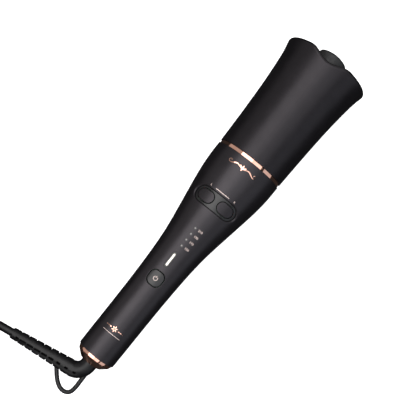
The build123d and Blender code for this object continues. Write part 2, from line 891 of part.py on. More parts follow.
# The strain relief bends in a plane through the axis that droops to the left-hand side.
drooping = sideways * cos(radians(relief_droop)) - upward * sin(radians(relief_droop))
relief_plane = Plane(origin=tail, x_dir=along, z_dir=along.cross(drooping))
relief_heading = (-cos(radians(relief_turn)), sin(radians(relief_turn)))
elbow_tangent = elbow_radius * tan(radians(relief_turn) / 2)
taper_length = relief_length - elbow_tangent


def on_relief(distance):
    """A point of the relief's straight stretch, at a distance from the elbow's corner."""
    return (elbow_station + relief_heading[0] * distance, relief_heading[1] * distance)


def relief_section(distance):
    """The plane square to the relief's straight stretch, with x across it in the bend's plane."""
    heading = along * relief_heading[0] + drooping * relief_heading[1]
    origin = relief_plane.from_local_coords(Vector(*on_relief(distance), 0))
    return Plane(origin=origin, x_dir=heading.cross(relief_plane.z_dir), z_dir=heading)


def relief_radius_at(distance):
    """The relief's radius on its tapered stretch."""
    share = (distance - elbow_tangent) / taper_length
    return relief_radius + (relief_end_radius - relief_radius) * share


rib_pitch = 7.2
rib_gap = 2.0
rib_slots = 8
deep_slots = 5
first_rib_slot = relief_length - 7.0

with BuildPart() as strain_relief:
    with BuildLine(relief_plane):
        elbow = FilletPolyline((0.3, 0), (elbow_station, 0), on_relief(elbow_tangent + 0.01), radius=elbow_radius)
    with BuildSketch(across(0.3)):
        Circle(relief_radius)
    sweep(path=elbow)
    with BuildSketch(relief_section(elbow_tangent)):
        Circle(relief_radius)
    with BuildSketch(relief_section(relief_length)):
        Circle(relief_end_radius)
    loft()
    for slot in range(rib_slots):
        fade = 1.0 if slot < deep_slots else (rib_slots - slot) / (rib_slots - deep_slots + 1)
        for offset, turn in ((0.0, 0.0), (rib_pitch / 2, 90.0)):
            middle = first_rib_slot - slot * rib_pitch + offset
            radius = relief_radius_at(middle)
            depth = (radius - cord_radius - 0.5) * fade
            plane = relief_section(middle - rib_gap / 2).rotated((0, 0, turn))
            with BuildSketch(plane):
                with Locations((radius + 1.0 - depth / 2, 0), (-radius - 1.0 + depth / 2, 0)):
                    Rectangle(depth + 2.0, 3 * radius)
            extrude(amount=rib_gap, mode=Mode.SUBTRACT)
save(strain_relief, "strain_relief")

with BuildPart() as hang_loop:
    with BuildLine(relief_plane):
        loop_path = FilletPolyline(
            (-19.0, -3.4),
            (-40.6, -2.0),
            (-42.2, 7.0),
            (-27.6, 21.0),
            radius=4.6,
        )
    with BuildSketch(Plane(origin=loop_path @ 0, z_dir=loop_path % 0)):
        Circle(loop_radius)
    sweep(path=loop_path)
    add(strain_relief.part, mode=Mode.SUBTRACT)
save(hang_loop, "hang_loop")

# ---- the free cord: a short lead to the coil, the coil, its tie, and the tail to the plug ----
relief_end = relief_section(relief_length)
coil_plane = Plane(origin=(tail.X + coil_x, coil_y, 0))
lead_points = [
    relief_end.origin,
    relief_end.origin + relief_end.z_dir * 13.0,
    Vector(tail.X - 35.9, 92.0, 5.0),
    Vector(tail.X + coil_x + coil_outer + 0.6, coil_y + 0.5, cord_radius),
]
tail_points = [
    Vector(tail.X + coil_x - coil_outer, coil_y - 0.5, 10.6),
    Vector(tail.X - 129.7, 93.0, 10.0),
    Vector(tail.X + plug_x, 80.0, plug_axis_height),
    Vector(tail.X + plug_x, 66.0, plug_axis_height),
]


def cord_radii(points):
    """The arc radius at each inner point of a cord's route."""
    radii = []
    for before, here, after in zip(points, points[1:], points[2:]):
        run_in = here - before
        run_out = after - here
        turn = radians(run_in.get_angle(run_out))
        radii.append(0.45 * min(run_in.length, run_out.length) / tan(turn / 2))
    return radii


for label, points in (("cord_tube", lead_points), ("cord_tail", tail_points)):
    radii = cord_radii(points)
    with BuildPart() as cord_stretch:
        with BuildLine():
            cord_route = FilletPolyline(*points, radius=radii)
        with BuildSketch(Plane(origin=cord_route @ 0, z_dir=cord_route % 0)):
            Circle(cord_radius)
        sweep(path=cord_route)
    expected = pi * cord_radius**2 * cord_route.length
    print(label, "radii", [round(r, 1) for r in radii], "length", round(cord_route.length, 1))
    print(label, "volume over section times length", round(cord_stretch.part.volume / expected, 4))
    save(cord_stretch, label)

bundle_inner = coil_inner - cord_radius
bundle_outer = coil_outer + cord_radius
bundle_middle = (bundle_inner + bundle_outer) / 2
bundle_shoulder = 21.2
tie_angle = 62.0

with BuildPart() as coil_tie:
    tie_x = bundle_middle * cos(radians(tie_angle))
    tie_y = bundle_middle * sin(radians(tie_angle))
    heading = Vector(-sin(radians(tie_angle)), cos(radians(tie_angle)), 0)
    tie_origin = coil_plane.origin + Vector(tie_x, tie_y, 0) - heading * (tie_width / 2)
    tie_plane = Plane(origin=tie_origin, x_dir=Vector(0, 0, 1).cross(heading), z_dir=heading)
    tie_span = bundle_outer - bundle_inner + 2.2
    with BuildSketch(tie_plane):
        with BuildLine():
            Polyline(
                (-tie_span / 2 - tie_wall, 0),
                (tie_span / 2 + tie_wall, 0),
                (tie_span / 2 + tie_wall, bundle_shoulder + 0.8),
                (4.4, coil_height + tie_wall),
                (-4.4, coil_height + tie_wall),
                (-tie_span / 2 - tie_wall, bundle_shoulder + 0.8),
                close=True,
            )
        make_face()
        with BuildLine():
            Polyline(
                (-tie_span / 2, tie_wall),
                (tie_span / 2, tie_wall),
                (tie_span / 2, bundle_shoulder + 0.2),
                (3.8, coil_height),
                (-3.8, coil_height),
                (-tie_span / 2, bundle_shoulder + 0.2),
                close=True,
            )
        make_face(mode=Mode.SUBTRACT)
    extrude(amount=tie_width)
save(coil_tie, "coil_tie")

with BuildPart() as cord_coil:
    with BuildSketch(Plane(origin=coil_plane.origin, x_dir=(1, 0, 0), z_dir=(0, -1, 0))):
        with BuildLine():
            Polyline(
                (bundle_inner, 0),
                (bundle_outer, 0),
                (bundle_outer, bundle_shoulder),
                (bundle_middle + 3.0, coil_height - 0.2),
                (bundle_middle - 3.0, coil_height - 0.2),
                (bundle_inner, bundle_shoulder),
                close=True,
            )
        make_face()
    revolve(axis=Axis(coil_plane.origin, (0, 0, 1)))
    add(coil_tie.part, mode=Mode.SUBTRACT)
save(cord_coil, "cord_coil")

# ---- mains plug: flat two-blade pattern, lying on its broad side ----
plug_width = 25.0
plug_thickness = 2 * plug_axis_height
plug_boot_start = 66.0
plug_body_start = 49.0
blade_spacing = 12.7
blade_length = 17.0
blade_thickness = 1.5

plug_back = Plane(origin=(tail.X + plug_x, plug_body_start, plug_axis_height), x_dir=(1, 0, 0), z_dir=(0, -1, 0))

with BuildPart() as plug_body:
    with BuildSketch(plug_back):
        RectangleRounded(17.0, 13.0, 4.0)
    with BuildSketch(plug_back.offset(9.0)):
        RectangleRounded(plug_width, plug_thickness, 4.5)
    loft()
    with BuildSketch(plug_back.offset(9.0)):
        RectangleRounded(plug_width, plug_thickness, 4.5)
    extrude(amount=plug_body_start - plug_face_y - 9.0)
    with BuildSketch(plug_back.offset(plug_body_start - plug_boot_start)):
        Circle(4.6)
    with BuildSketch(plug_back):
        Circle(6.0)
    loft()
save(plug_body, "plug_body")

with BuildPart() as plug_blades:
    for offset, blade_width in ((-blade_spacing / 2, 6.35), (blade_spacing / 2, 7.9)):
        blade_plane = Plane(
            origin=(tail.X + plug_x + offset, plug_face_y, plug_axis_height),
            x_dir=(1, 0, 0),
            z_dir=(0, -1, 0),
        )
        with BuildSketch(blade_plane):
            Rectangle(blade_thickness, blade_width)
        extrude(amount=blade_length)
        with BuildSketch(Plane(origin=blade_plane.origin, x_dir=(0, -1, 0), z_dir=(1, 0, 0))):
            with Locations((11.6, 0)):
                Circle(1.6)
        extrude(amount=3.0, both=True, mode=Mode.SUBTRACT)
save(plug_blades, "plug_blades")

print("tilt", round(degrees(tilt), 3), "tail", [round(c, 3) for c in tail])
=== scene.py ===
import json
from math import atan2, cos, pi, radians, sin, sqrt, tan

import bmesh
import bpy
from mathutils import Matrix, Vector
from mathutils.bvhtree import BVHTree


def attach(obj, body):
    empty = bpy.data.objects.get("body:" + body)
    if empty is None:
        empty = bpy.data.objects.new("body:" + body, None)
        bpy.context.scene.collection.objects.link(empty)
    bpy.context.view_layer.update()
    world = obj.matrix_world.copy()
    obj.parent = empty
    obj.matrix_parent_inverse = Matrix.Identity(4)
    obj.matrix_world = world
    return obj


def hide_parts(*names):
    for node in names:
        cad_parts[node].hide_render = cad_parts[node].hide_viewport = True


# Looks of the automatic hair curler. Metres in the scene, millimetres in the named sizes.
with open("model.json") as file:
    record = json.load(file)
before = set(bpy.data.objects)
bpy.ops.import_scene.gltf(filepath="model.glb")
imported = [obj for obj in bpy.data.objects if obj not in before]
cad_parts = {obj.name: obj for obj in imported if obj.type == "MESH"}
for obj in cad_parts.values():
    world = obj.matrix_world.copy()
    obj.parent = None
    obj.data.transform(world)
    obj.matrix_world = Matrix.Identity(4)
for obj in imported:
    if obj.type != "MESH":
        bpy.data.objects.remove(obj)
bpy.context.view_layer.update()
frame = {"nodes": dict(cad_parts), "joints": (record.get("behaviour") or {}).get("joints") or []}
MM = 0.001

# ---- the curler's own directions, from the swivel's joint at the handle's cord end ----
swivel = next(joint for joint in frame["joints"] if joint["name"] == "cord_swivel_turn")
tail = Vector(swivel["pos_m"])
along = Vector(swivel["axis"]).normalized()
sideways = Vector((0, 1, 0))
upward = along.cross(sideways)


def at(station, left, height):
    """A place by its millimetres along the axis, to the left-hand side and up from the axis."""
    return tail + (along * station + sideways * left + upward * height) * MM


def turned_at(station, radius, angle):
    """A place on a circle round the axis, its angle counted from straight up to the left."""
    return at(station, radius * sin(angle), radius * cos(angle))


# ---- camera: over the curler's back, with the tip up and to the right ----
camera_place = at(114.8, -45.5, 720.3)
camera_aim = at(152.2, 3.8, 0)
camera_roll = radians(38.735)
camera_lens = 74.73
camera_far = 20.0

forward = (camera_aim - camera_place).normalized()
rightward = forward.cross(along * cos(camera_roll) + sideways * sin(camera_roll)).normalized()
camera = bpy.data.objects.new("camera", bpy.data.cameras.new("camera"))
camera.data.lens = camera_lens
camera.data.clip_end = camera_far
camera.matrix_world = Matrix((rightward, rightward.cross(forward), -forward)).transposed().to_4x4()
camera.location = camera_place
bpy.context.scene.collection.objects.link(camera)
bpy.context.scene.camera = camera


# ---- finishes ----
noise_span = (0.3, 0.7)
tone_span = (0.35, 0.65)
handle_gloss = 0.5
bell_gloss = 0.34


def finish(name, colour, roughness, metallic=0.0, specular=0.5):
    """A new finish with its even values on the shader itself."""
    made = bpy.data.materials.new(name)
    made.use_nodes = True
    shader = made.node_tree.nodes["Principled BSDF"]
    shader.inputs["Base Color"].default_value = (*colour, 1)
    shader.inputs["Roughness"].default_value = roughness
    shader.inputs["Metallic"].default_value = metallic
    shader.inputs["Specular IOR Level"].default_value = specular
    return made


def place_on(made, stretch=(1, 1, 1)):
    """The piece's own place, stretched along its axes, as a socket for the patterns."""
    tree = made.node_tree
    place = tree.nodes.new("ShaderNodeTexCoord")
    mapping = tree.nodes.new("ShaderNodeMapping")
    mapping.inputs["Scale"].default_value = stretch
    mapping.inputs["Rotation"].default_value = (0, -atan2(along.z, along.x), 0)
    tree.links.new(place.outputs["Object"], mapping.inputs["Vector"])
    return mapping.outputs["Vector"]


def mottle(made, size, detail=3.0, stretch=(1, 1, 1)):
    """A noise pattern whose patches are about one size across, in millimetres."""
    noise = made.node_tree.nodes.new("ShaderNodeTexNoise")
    noise.inputs["Scale"].default_value = 1 / (size * MM)
    noise.inputs["Detail"].default_value = detail
    made.node_tree.links.new(place_on(made, stretch), noise.inputs["Vector"])
    return noise.outputs["Fac"]


def vary_roughness(made, pattern, low, high):
    """Lets a pattern move the roughness between two limits."""
    tree = made.node_tree
    spread = tree.nodes.new("ShaderNodeMapRange")
    spread.inputs["From Min"].default_value = noise_span[0]
    spread.inputs["From Max"].default_value = noise_span[1]
    spread.inputs["To Min"].default_value = low
    spread.inputs["To Max"].default_value = high
    tree.links.new(pattern, spread.inputs["Value"])
    tree.links.new(spread.outputs["Result"], tree.nodes["Principled BSDF"].inputs["Roughness"])


def vary_colour(made, pattern, dark, light):
    """Lets a pattern move the colour between two tones."""
    tree = made.node_tree
    ramp = tree.nodes.new("ShaderNodeValToRGB")
    ramp.color_ramp.elements[0].position = tone_span[0]
    ramp.color_ramp.elements[0].color = (*dark, 1)
    ramp.color_ramp.elements[1].position = tone_span[1]
    ramp.color_ramp.elements[1].color = (*light, 1)
    tree.links.new(pattern, ramp.inputs["Fac"])
    tree.links.new(ramp.outputs["Color"], tree.nodes["Principled BSDF"].inputs["Base Color"])


def relief(made, pattern, depth, strength=1.0):
    """Raises the surface along a pattern, by a depth in millimetres."""
    tree = made.node_tree
    bump = tree.nodes.new("ShaderNodeBump")
    bump.inputs["Strength"].default_value = strength
    bump.inputs["Distance"].default_value = depth * MM
    tree.links.new(pattern, bump.inputs["Height"])
    tree.links.new(bump.outputs["Normal"], tree.nodes["Principled BSDF"].inputs["Normal"])


def soft_touch_black(name, gloss):
    """Rubbery lacquer: deep black, with a fine orange-peel grain and faint handling marks."""
    made = finish(name, (0.0045, 0.004, 0.005), 0.38, specular=gloss)
    shader = made.node_tree.nodes["Principled BSDF"]
    shader.inputs["Specular Tint"].default_value = (1.0, 0.93, 1.0, 1)
    vary_colour(made, mottle(made, 9.0), (0.0038, 0.0034, 0.0042), (0.0055, 0.0049, 0.006))
    vary_roughness(made, mottle(made, 14.0, 5.0), 0.35, 0.41)
    relief(made, mottle(made, 0.35, 2.0), 0.012, 0.35)
    return made


def satin_black():
    """Moulded black plastic of the keys and frames, a little glossier than the lacquer."""
    made = finish("satin_moulding", (0.004, 0.004, 0.0048), 0.31, specular=0.55)
    vary_colour(made, mottle(made, 5.0), (0.0032, 0.0032, 0.004), (0.005, 0.005, 0.006))
    vary_roughness(made, mottle(made, 6.0, 4.0), 0.28, 0.34)
    relief(made, mottle(made, 0.25, 2.0), 0.006, 0.3)
    return made


def rose_gold():
    """Metallised rose gold: clear reflections with hair-fine polishing marks."""
    made = finish("rose_gold_plating", (0.9, 0.52, 0.4), 0.08, metallic=1.0)
    vary_colour(made, mottle(made, 7.0), (0.88, 0.49, 0.37), (0.92, 0.55, 0.43))
    vary_roughness(made, mottle(made, 0.5, 4.0, (6, 1, 1)), 0.06, 0.11)
    relief(made, mottle(made, 0.3, 2.0, (4, 1, 1)), 0.002, 0.2)
    return made


def heat_resin():
    """Glass-filled resin of the heat chamber, dull with short fibre flecks."""
    made = finish("glass_filled_resin", (0.02, 0.02, 0.021), 0.55, specular=0.35)
    flecks = mottle(made, 0.8, 5.0, (0.3, 1, 1))
    vary_colour(made, flecks, (0.015, 0.015, 0.016), (0.03, 0.03, 0.031))
    vary_roughness(made, mottle(made, 2.0), 0.48, 0.62)
    relief(made, mottle(made, 0.4, 3.0, (0.4, 1, 1)), 0.015, 0.5)
    return made


def ceramic_barrel():
    """Sprayed ceramic on the aluminium barrel, dark and smooth with a pearl fleck."""
    made = finish("ceramic_coat", (0.05, 0.047, 0.047), 0.28, metallic=0.35)
    vary_colour(made, mottle(made, 0.5, 2.0), (0.04, 0.037, 0.037), (0.07, 0.064, 0.062))
    vary_roughness(made, mottle(made, 3.0), 0.24, 0.33)
    relief(made, mottle(made, 0.3, 2.0), 0.004, 0.4)
    return made


def frosted_lens():
    """Frosted light window: milky plastic with a warm tone."""
    made = finish("frosted_window", (0.93, 0.88, 0.8), 0.42)
    vary_colour(made, mottle(made, 1.2), (0.9, 0.84, 0.75), (0.96, 0.92, 0.86))
    vary_roughness(made, mottle(made, 0.4), 0.38, 0.5)
    shader = made.node_tree.nodes["Principled BSDF"]
    shader.inputs["Emission Color"].default_value = (1.0, 0.93, 0.84, 1)
    shader.inputs["Emission Strength"].default_value = 0.25
    return made


def unlit_window():
    """Smoky light window that shows dark while its light is off."""
    made = finish("smoky_window", (0.24, 0.22, 0.22), 0.3)
    vary_colour(made, mottle(made, 0.6), (0.2, 0.18, 0.18), (0.28, 0.26, 0.26))
    vary_roughness(made, mottle(made, 0.4), 0.25, 0.38)
    return made


def circuit_board():
    """Green solder mask with the faint weave of the glass cloth under it."""
    made = finish("solder_mask", (0.012, 0.13, 0.05), 0.3)
    vary_colour(made, mottle(made, 1.6, 4.0), (0.008, 0.1, 0.035), (0.02, 0.17, 0.07))
    relief(made, mottle(made, 0.5), 0.01, 0.5)
    return made


def plain_moulding(name, colour, roughness, grain=1.0):
    """A small inner piece: one tone, with a light mottle, grain and change of gloss."""
    made = finish(name, colour, roughness)
    dark = [0.82 * tone for tone in colour]
    light = [min(1.0, 1.12 * tone) for tone in colour]
    vary_colour(made, mottle(made, 3.0 * grain, 4.0), dark, light)
    vary_roughness(made, mottle(made, 1.5 * grain), 0.85 * roughness, 1.15 * roughness)
    relief(made, mottle(made, 0.4 * grain), 0.008, 0.5)
    return made


def turned_metal(name, colour, roughness):
    """Lathe-turned metal, with fine marks that run round the curler's axis."""
    made = finish(name, colour, roughness, metallic=1.0)
    vary_roughness(made, mottle(made, 0.6, 4.0, (8, 0.4, 0.4)), 0.75 * roughness, 1.3 * roughness)
    vary_colour(made, mottle(made, 4.0), [0.9 * tone for tone in colour], colour)
    relief(made, mottle(made, 0.5, 3.0, (8, 0.4, 0.4)), 0.004, 0.5)
    return made


def cord_rubber():
    """Flexible black sheath: satin, with a soft mottle and an uneven drawn surface."""
    made = finish("cord_sheath", (0.004, 0.004, 0.0047), 0.36, specular=0.3)
    vary_colour(made, mottle(made, 6.0, 5.0), (0.003, 0.003, 0.0036), (0.006, 0.006, 0.0068))
    vary_roughness(made, mottle(made, 4.0, 4.0), 0.3, 0.42)
    relief(made, mottle(made, 0.9, 3.0), 0.02, 0.4)
    return made


def pale_rose_ink():
    """Pale rose ink of the small printed marks."""
    made = finish("pale_rose_print", (0.82, 0.66, 0.6), 0.35, metallic=0.3)
    vary_colour(made, mottle(made, 0.8), (0.78, 0.61, 0.55), (0.88, 0.73, 0.67))
    return made


finishes = {
    "soft_touch_black": soft_touch_black("soft_touch_lacquer", handle_gloss),
    "satin_black": satin_black(),
    "rose_gold": rose_gold(),
    "heat_resin": heat_resin(),
    "ceramic_barrel": ceramic_barrel(),
    "frosted_lens": frosted_lens(),
    "circuit_board": circuit_board(),
    "component_black": plain_moulding("component_moulding", (0.03, 0.03, 0.031), 0.45),
    "component_yellow": plain_moulding("capacitor_case", (0.75, 0.5, 0.08), 0.35),
    "steel": turned_metal("zinc_plated_steel", (0.56, 0.57, 0.6), 0.28),
    "aluminium": turned_metal("drawn_aluminium", (0.74, 0.74, 0.76), 0.32),
    "ceramic_heater": plain_moulding("heater_ceramic", (0.82, 0.8, 0.75), 0.6),
    "brass": turned_metal("turned_brass", (0.78, 0.58, 0.28), 0.25),
    "carbon": plain_moulding("brush_carbon", (0.045, 0.045, 0.047), 0.5, grain=0.5),
    "wire": plain_moulding("silicone_insulation", (0.5, 0.04, 0.035), 0.5),
    "cord_rubber": cord_rubber(),
}
printed = pale_rose_ink()
own_finishes = {
    "heat_light_lenses": unlit_window(),
    "shroud": soft_touch_black("bell_lacquer", bell_gloss),
}

for node in frame["nodes"].values():
    for holder in node.material_slots:
        holder.material = finishes[holder.material.name.split(".")[0]]
for name, paint in own_finishes.items():
    for holder in frame["nodes"][name].material_slots:
        holder.material = paint


# ---- making pieces ----
smooth_crease = 40.0
mark_crease = 30.0
join_distance = 1e-7


def piece_from(name, mesh, slot, body, paint=None):
    """A piece at the origin with its finish, looked up by its slot name unless a paint is given,
    and the body that it rides on.
    """
    made = bpy.data.objects.new(name, mesh)
    bpy.context.scene.collection.objects.link(made)
    mesh.materials.clear()
    mesh.materials.append(paint or finishes[slot])
    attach(made, body)
    return made


def closed(mesh, crease=smooth_crease):
    """Joins doubled points, points the faces outwards and smooths all but the sharp edges."""
    form = bmesh.new()
    form.from_mesh(mesh)
    bmesh.ops.remove_doubles(form, verts=form.verts, dist=join_distance)
    bmesh.ops.recalc_face_normals(form, faces=form.faces)
    form.to_mesh(mesh)
    form.free()
    mesh.shade_smooth()
    mesh.set_sharp_from_angle(angle=radians(crease))
    return mesh


def evaluated(holder):
    """The plain mesh of an object with its modifiers applied. The holder is removed."""
    bpy.context.view_layer.update()
    finished = holder.evaluated_get(bpy.context.evaluated_depsgraph_get())
    shape = bpy.data.meshes.new_from_object(finished)
    bpy.data.objects.remove(holder)
    return shape


def holder_of(name, data):
    """A passing object for curve, text or mesh data."""
    made = bpy.data.objects.new(name, data)
    bpy.context.scene.collection.objects.link(made)
    return made


def lathe(name, profile, steps):
    """A closed ring turned round the curler's axis from its section's corners, in millimetres."""
    mesh = bpy.data.meshes.new(name)
    places = []
    for step in range(steps):
        angle = 2 * pi * step / steps
        places += [turned_at(x, r, angle) for x, r in profile]
    count = len(profile)
    faces = []
    for step in range(steps):
        here = step * count
        there = (step + 1) % steps * count
        for corner in range(count):
            following = (corner + 1) % count
            faces.append((here + corner, here + following, there + following, there + corner))
    mesh.from_pydata(places, [], faces)
    return closed(mesh)


def node_shape(*names):
    """The triangles of some CAD nodes, to measure from."""
    places = []
    faces = []
    for name in names:
        mesh = frame["nodes"][name].data
        offset = len(places)
        places += [vertex.co.copy() for vertex in mesh.vertices]
        faces += [[offset + index for index in face.vertices] for face in mesh.polygons]
    return BVHTree.FromPolygons(places, faces)


handle_shape = node_shape("front_shell", "rear_shell")
probe_reach = 80.0
probe_height = 3.0


def skin_radius(station):
    """The handle's outer radius at a station, measured on its right-hand side."""
    start = at(station, -probe_reach, probe_height)
    hit = handle_shape.ray_cast(start, sideways)[0]
    offset = (hit - tail) / MM
    return sqrt(offset.dot(sideways) ** 2 + offset.dot(upward) ** 2)


def on_skin(station, left, proud=0.0):
    """A place on the handle's front skin, raised by a little."""
    reach = skin_radius(station) + proud
    return at(station, left, sqrt(reach**2 - left**2))


def draped(flat, station, left, thickness, proud):
    """A flat millimetre shape with a thickness, laid on the skin: x to the right, y to the tip."""
    holder = holder_of("flat", flat)
    depth = holder.modifiers.new("depth", "SOLIDIFY")
    depth.thickness = thickness
    depth.offset = -1
    mesh = evaluated(holder)
    for vertex in mesh.vertices:
        x, y, z = vertex.co
        vertex.co = on_skin(station + y, left - x, proud + z)
    return closed(mesh, mark_crease)


letter_size = 1.4
letter_curve = 3


def lettering(words, height):
    """Plain letters as a flat mesh, centred, with their height in millimetres."""
    text = bpy.data.curves.new("letters", "FONT")
    text.body = words
    text.size = height * letter_size
    text.align_x = "CENTER"
    text.align_y = "CENTER"
    text.resolution_u = letter_curve
    text.fill_mode = "FRONT"
    return evaluated(holder_of("letters", text))


def ribbon(points, widths):
    """A flat strip along points, with its width at each, in millimetres."""
    mesh = bpy.data.meshes.new("ribbon")
    places = []
    for index, (point, width) in enumerate(zip(points, widths)):
        before = Vector(points[max(index - 1, 0)])
        after = Vector(points[min(index + 1, len(points) - 1)])
        heading = (after - before).normalized()
        normal = Vector((-heading.y, heading.x))
        for side in (1, -1):
            place = Vector(point) + normal * (side * width / 2)
            places.append((place.x, place.y, 0))
    faces = [(2 * i, 2 * i + 1, 2 * i + 3, 2 * i + 2) for i in range(len(points) - 1)]
    mesh.from_pydata(places, [], faces)
    form = bmesh.new()
    form.from_mesh(mesh)
    bmesh.ops.recalc_face_normals(form, faces=form.faces)
    if form.faces[0].normal.z < 0:
        bmesh.ops.reverse_faces(form, faces=form.faces)
    form.to_mesh(mesh)
    form.free()
    return mesh


def gathered(meshes):
    """Several flat meshes as one."""
    form = bmesh.new()
    for mesh in meshes:
        form.from_mesh(mesh)
    made = bpy.data.meshes.new("gathered")
    form.to_mesh(made)
    form.free()
    return made


# ---- the cord: out of the relief, a short lead, six and a half tied turns, and the tail ----
cord_radius = 3.5
relief_length = 67.6
relief_turn = radians(80.4)
relief_droop = radians(5.5)
elbow_station = -20.3
lead_straight = 13.0
tail_x = tail.x / MM
lead_bend = Vector((tail_x - 35.9, 92.0, 5.0))
coil_middle = Vector((tail_x - 84.0, 106.0, 0))
coil_outer = 45.6
coil_top = 10.6
entry_gap = 0.6
entry_side = 0.5
coil_cells = [  # radius and height of the cord's middle in each turn
    (coil_outer, 3.5),
    (38.4, 3.5),
    (38.4, coil_top),
    (38.4, 17.7),
    (42.0, 23.7),
    (coil_outer, 17.7),
    (coil_outer, coil_top),
]
cell_turn = 334.0
crossing_turn = 40.0
coil_turn = 2340.0
coil_step = 15.0
tail_bends = [
    Vector((tail_x - 129.7, 93.0, 10.0)),
    Vector((tail_x - 130.5, 80.0, 8.0)),
    Vector((tail_x - 130.5, 66.0, 8.0)),
]
cord_round = 5
cord_smooth = 5
loop_smooth = 8

drooping = sideways * cos(relief_droop) - upward * sin(relief_droop)
relief_heading = -along * cos(relief_turn) + drooping * sin(relief_turn)
cord_exit = tail + (along * elbow_station + relief_heading * relief_length) * MM


def coil_place(turn):
    """The cord's place after a turn in degrees from the coil's start, in millimetres."""
    crossing = min(max(round(turn / cell_turn), 1), len(coil_cells) - 1)
    share = (turn - crossing * cell_turn) / crossing_turn + 0.5
    share = min(max(share, 0.0), 1.0)
    share = share * share * (3 - 2 * share)
    (r0, z0), (r1, z1) = coil_cells[crossing - 1], coil_cells[crossing]
    late = share**2
    early = 1 - (1 - share) ** 2
    if r0 == r1 or z0 == z1:
        late = early = share
    rising = z1 >= z0
    radius = r0 + (r1 - r0) * (late if rising else early)
    height = z0 + (z1 - z0) * (early if rising else late)
    angle = radians(turn)
    return coil_middle + Vector((radius * cos(angle), radius * sin(angle), height))


cord_points = [
    cord_exit / MM,
    cord_exit / MM + relief_heading * lead_straight,
    lead_bend,
    Vector((coil_middle.x + coil_outer + entry_gap, coil_middle.y + entry_side, cord_radius)),
]
turns_made = coil_step
while turns_made < coil_turn:
    cord_points.append(coil_place(turns_made))
    turns_made += coil_step
coil_end = Vector((coil_middle.x - coil_outer, coil_middle.y - entry_side, coil_top))
cord_points += [coil_end, *tail_bends]


def cord_line(name, points, radius, resolution):
    """One smooth round line with the points as its control points, in millimetres."""
    curve = bpy.data.curves.new(name, "CURVE")
    curve.dimensions = "3D"
    spline = curve.splines.new("NURBS")
    spline.points.add(len(points) - 1)
    for control, point in zip(spline.points, points):
        control.co = (*(point * MM), 1)
    spline.order_u = 3
    spline.use_endpoint_u = True
    curve.resolution_u = resolution
    curve.bevel_depth = radius * MM
    curve.bevel_resolution = cord_round
    curve.use_fill_caps = True
    return curve


cord_curve = cord_line("mains_cord", cord_points, cord_radius, cord_smooth)
mains_cord = piece_from("mains_cord", cord_curve, "cord_rubber", "cord_swivel")
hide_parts("cord_tube", "cord_coil", "cord_tail")

# ---- hanging loop: one soft bend of round cord behind the relief ----
loop_radius = 1.9
loop_stops = [  # along the axis and out towards the cord
    (-19.0, -3.4),
    (-26.0, -3.6),
    (-32.0, -3.8),
    (-37.4, -3.0),
    (-40.4, 0.4),
    (-40.8, 5.4),
    (-38.4, 10.6),
    (-34.2, 15.2),
    (-30.2, 18.8),
    (-27.6, 21.0),
]
loop_points = [tail / MM + along * x + drooping * y for x, y in loop_stops]
loop_curve = cord_line("loop_line", loop_points, loop_radius, loop_smooth)
loop_mesh = closed(evaluated(holder_of("loop", loop_curve)))
hanging_loop = piece_from("hanging_loop", loop_mesh, "cord_rubber", "cord_swivel")
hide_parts("hang_loop")


# ---- plug: neck rings that repeat and shrink towards the cord ----
plug_neck = Vector((tail_x - 130.5, 51.5, 8.0))
plug_heading = Vector((0, 1, 0))
plug_ring_sizes = {
    "Rings": 5,
    "Pitch": 3.1 * MM,
    "First radius": 5.8 * MM,
    "Bead radius": 0.55 * MM,
    "Shrink": 0.048,
}
ring_corners = 40
bead_corners = 10


def neck_ring_tree(material, sizes):
    """Rings on a line, each a little smaller than the last one, with an input for each size."""
    tree = bpy.data.node_groups.new("neck_rings", "GeometryNodeTree")
    tree.interface.new_socket(name="Geometry", in_out="OUTPUT", socket_type="NodeSocketGeometry")
    names = {}
    for label, value in sizes.items():
        kind = "NodeSocketInt" if isinstance(value, int) else "NodeSocketFloat"
        made = tree.interface.new_socket(name=label, in_out="INPUT", socket_type=kind)
        made.default_value = value
        names[label] = made.identifier
    new = tree.nodes.new
    link = tree.links.new
    given = new("NodeGroupInput")
    line = new("GeometryNodeMeshLine")
    stretch = new("ShaderNodeCombineXYZ")
    circle = new("GeometryNodeCurvePrimitiveCircle")
    circle.inputs["Resolution"].default_value = ring_corners
    bead = new("GeometryNodeCurvePrimitiveCircle")
    bead.inputs["Resolution"].default_value = bead_corners
    ring = new("GeometryNodeCurveToMesh")
    copies = new("GeometryNodeInstanceOnPoints")
    index = new("GeometryNodeInputIndex")
    drop = new("ShaderNodeMath")
    drop.operation = "MULTIPLY"
    size = new("ShaderNodeMath")
    size.operation = "SUBTRACT"
    size.inputs[0].default_value = 1.0
    real = new("GeometryNodeRealizeInstances")
    painted = new("GeometryNodeSetMaterial")
    painted.inputs["Material"].default_value = material
    result = new("NodeGroupOutput")
    link(given.outputs["Rings"], line.inputs["Count"])
    link(given.outputs["Pitch"], stretch.inputs["Z"])
    link(stretch.outputs["Vector"], line.inputs["Offset"])
    link(given.outputs["First radius"], circle.inputs["Radius"])
    link(given.outputs["Bead radius"], bead.inputs["Radius"])
    link(circle.outputs["Curve"], ring.inputs["Curve"])
    link(bead.outputs["Curve"], ring.inputs["Profile Curve"])
    link(line.outputs["Mesh"], copies.inputs["Points"])
    link(ring.outputs["Mesh"], copies.inputs["Instance"])
    link(index.outputs["Index"], drop.inputs[0])
    link(given.outputs["Shrink"], drop.inputs[1])
    link(drop.outputs["Value"], size.inputs[1])
    link(size.outputs["Value"], copies.inputs["Scale"])
    link(copies.outputs["Instances"], real.inputs["Geometry"])
    link(real.outputs["Geometry"], painted.inputs["Geometry"])
    link(painted.outputs["Geometry"], result.inputs["Geometry"])
    return tree, names


